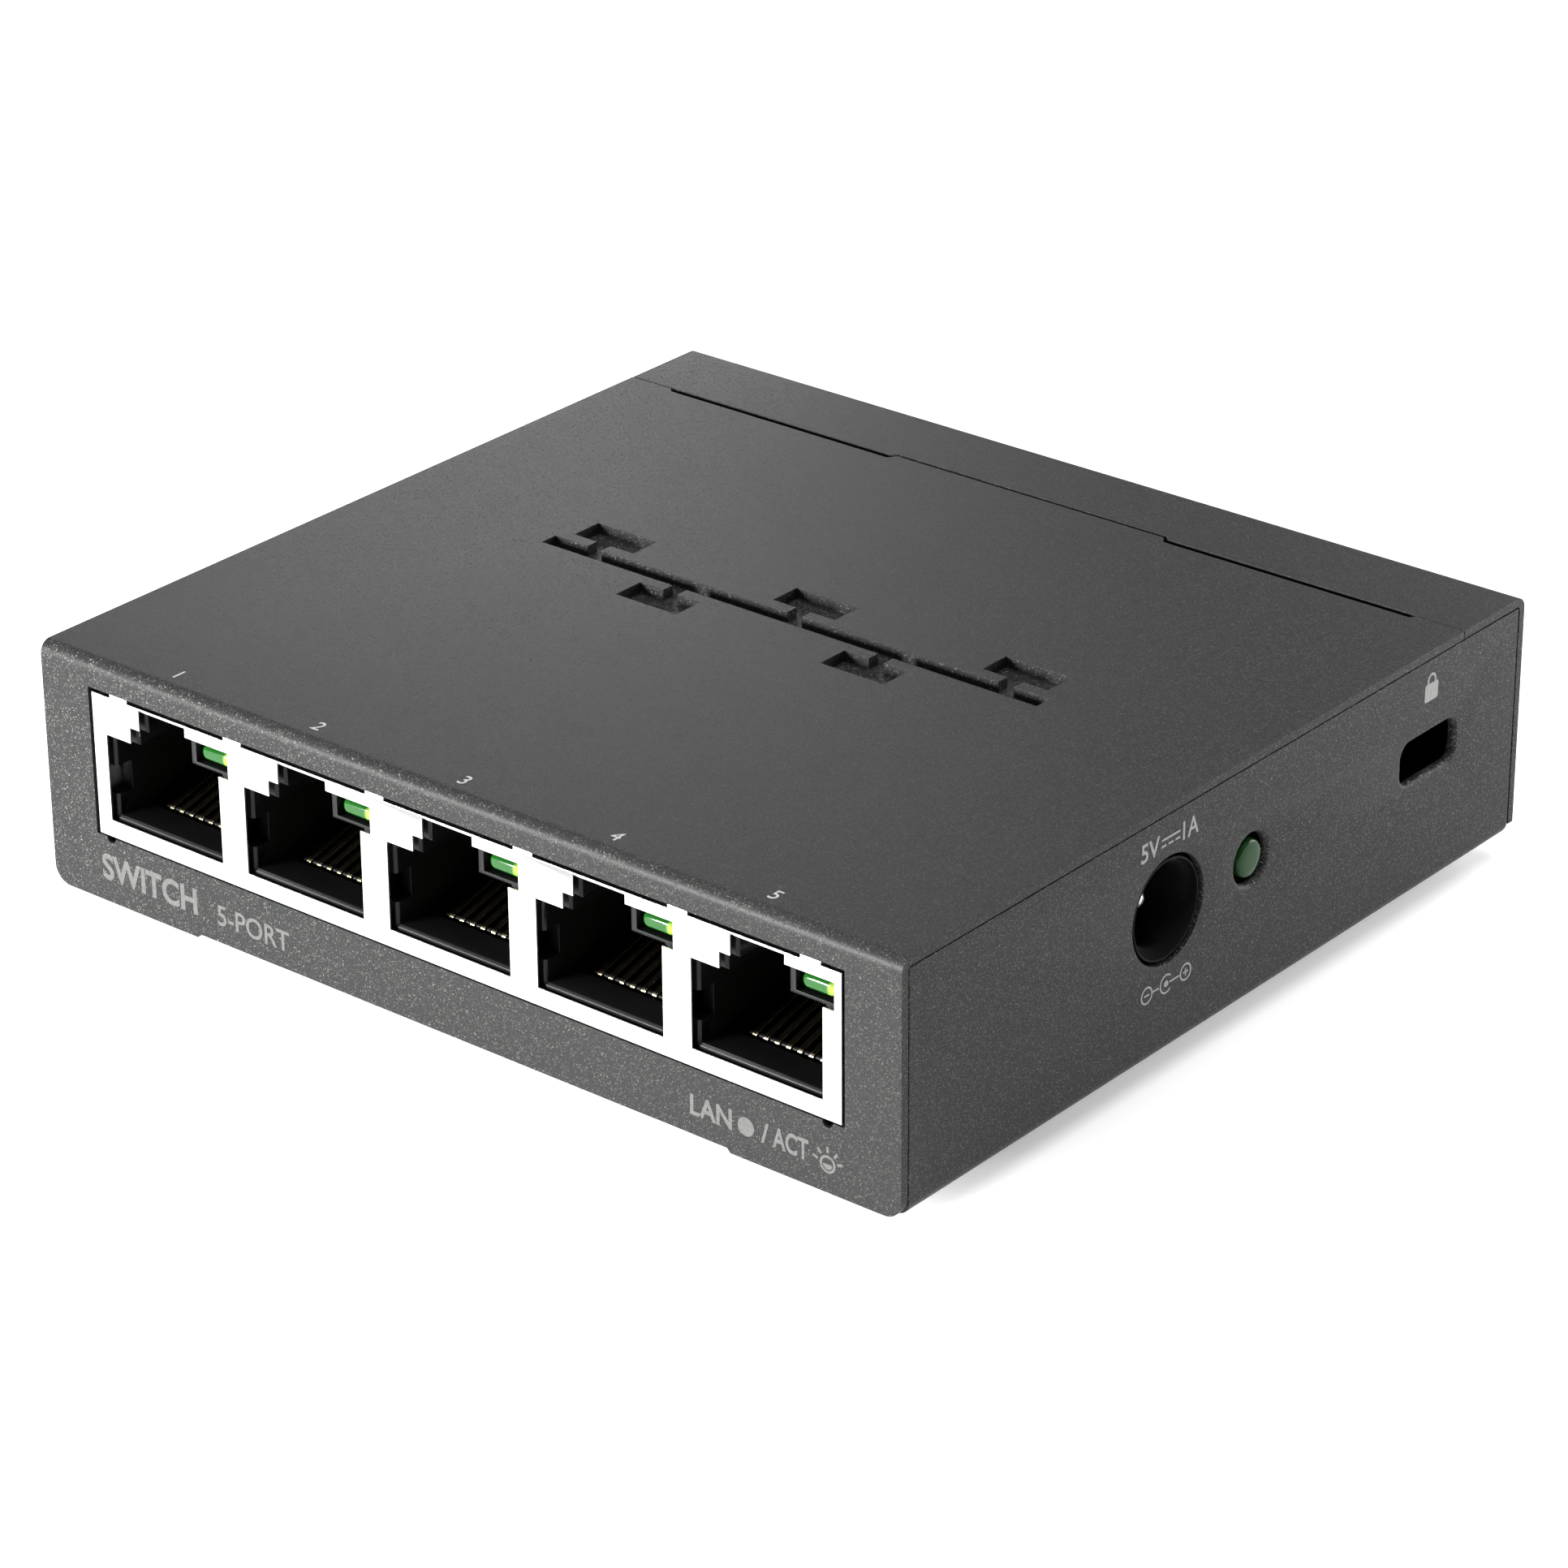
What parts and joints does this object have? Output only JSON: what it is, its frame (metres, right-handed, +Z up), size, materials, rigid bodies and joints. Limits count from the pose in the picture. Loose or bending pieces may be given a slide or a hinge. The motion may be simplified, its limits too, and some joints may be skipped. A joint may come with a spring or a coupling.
{
  "type": "desktop network switch",
  "caption": "Small metal-cased desktop network switch with a row of shielded ports in front, and a power socket, power light and lock slot on its side.",
  "frame": {"origin": "under the middle of the case, on the plane that the rubber feet stand on", "axes": "+X to the right seen from the ports, towards the side with the power socket; +Y from the ports to the rear; +Z up"},
  "size_m": [0.082, 0.0762, 0.022],
  "materials": {
    "powder_coat": "fine-textured dark grey powder coat with a metallic fleck, satin",
    "rubber": "matt black",
    "label": "blank silver-white sticker, satin",
    "board": "green solder mask over glass epoxy, semi-gloss",
    "zinc_steel": "zinc-plated steel, satin",
    "nickel_plate": "bright nickel plate over tin-plated steel, fine grain",
    "black_plastic": "moulded black plastic, semi-matt",
    "gold_plate": "gold-plated spring wire, bright",
    "green_lens": "clear green light-emitting diode lens, glossy",
    "chip_black": "black epoxy moulding, matt",
    "thermal_pad": "soft grey silicone pad, matt",
    "aluminium": "anodised aluminium, satin"
  },
  "bodies": {
    "root": {"front_top_cover": "powder_coat", "rear_cover": "powder_coat", "base_chassis": "powder_coat", "rubber_foot_1": "rubber", "rubber_foot_2": "rubber", "rubber_foot_3": "rubber", "rubber_foot_4": "rubber", "rating_label": "label", "circuit_board": "board", "board_standoff_1": "zinc_steel", "board_standoff_2": "zinc_steel", "board_standoff_3": "zinc_steel", "board_standoff_4": "zinc_steel", "board_screw_1": "zinc_steel", "board_screw_2": "zinc_steel", "board_screw_3": "zinc_steel", "board_screw_4": "zinc_steel", "case_screw_1": "zinc_steel", "case_screw_2": "zinc_steel", "case_screw_3": "zinc_steel", "case_screw_4": "zinc_steel", "crystal": "zinc_steel", "jack_shield": "nickel_plate", "power_jack_pin": "nickel_plate", "port_housing_1": "black_plastic", "port_housing_2": "black_plastic", "port_housing_3": "black_plastic", "port_housing_4": "black_plastic", "port_housing_5": "black_plastic", "power_jack_housing": "black_plastic", "power_light_holder": "black_plastic", "port_light_1": "green_lens", "port_light_2": "green_lens", "port_light_3": "green_lens", "port_light_4": "green_lens", "port_light_5": "green_lens", "power_light": "green_lens", "switch_chip": "chip_black", "flash_chip": "chip_black", "voltage_regulator": "chip_black", "power_inductor_1": "chip_black", "power_inductor_2": "chip_black", "lan_transformer_1": "chip_black", "lan_transformer_2": "chip_black", "lan_transformer_3": "chip_black", "lan_transformer_4": "chip_black", "lan_transformer_5": "chip_black", "thermal_pad": "thermal_pad", "heat_sink": "aluminium", "electrolytic_capacitor_1": "aluminium", "electrolytic_capacitor_2": "aluminium"},
    "contact_set_1": {"port_contacts_1": "gold_plate"},
    "contact_set_2": {"port_contacts_2": "gold_plate"},
    "contact_set_3": {"port_contacts_3": "gold_plate"},
    "contact_set_4": {"port_contacts_4": "gold_plate"},
    "contact_set_5": {"port_contacts_5": "gold_plate"},
    "leaf_spring": {"power_jack_spring": "nickel_plate"}
  },
  "joints": [
    {"name": "contact_spring_1", "type": "hinge", "parent": "root", "child": "contact_set_1", "pos_m": [-0.02868, -0.0336, 0.00905], "axis": [-1, 0, 0], "range_deg": [0, 12], "stiffness_Nm_per_rad": 0.05},
    {"name": "contact_spring_2", "type": "hinge", "parent": "root", "child": "contact_set_2", "pos_m": [-0.01444, -0.0336, 0.00905], "axis": [-1, 0, 0], "range_deg": [0, 12], "stiffness_Nm_per_rad": 0.05},
    {"name": "contact_spring_3", "type": "hinge", "parent": "root", "child": "contact_set_3", "pos_m": [-0.0002, -0.0336, 0.00905], "axis": [-1, 0, 0], "range_deg": [0, 12], "stiffness_Nm_per_rad": 0.05},
    {"name": "contact_spring_4", "type": "hinge", "parent": "root", "child": "contact_set_4", "pos_m": [0.01404, -0.0336, 0.00905], "axis": [-1, 0, 0], "range_deg": [0, 12], "stiffness_Nm_per_rad": 0.05},
    {"name": "contact_spring_5", "type": "hinge", "parent": "root", "child": "contact_set_5", "pos_m": [0.02828, -0.0336, 0.00905], "axis": [-1, 0, 0], "range_deg": [0, 12], "stiffness_Nm_per_rad": 0.05},
    {"name": "power_leaf_spring", "type": "hinge", "parent": "root", "child": "leaf_spring", "pos_m": [0.0286, -0.0077, 0.0093], "axis": [0, 1, 0], "range_deg": [0, 8], "stiffness_Nm_per_rad": 0.03}
  ]
}
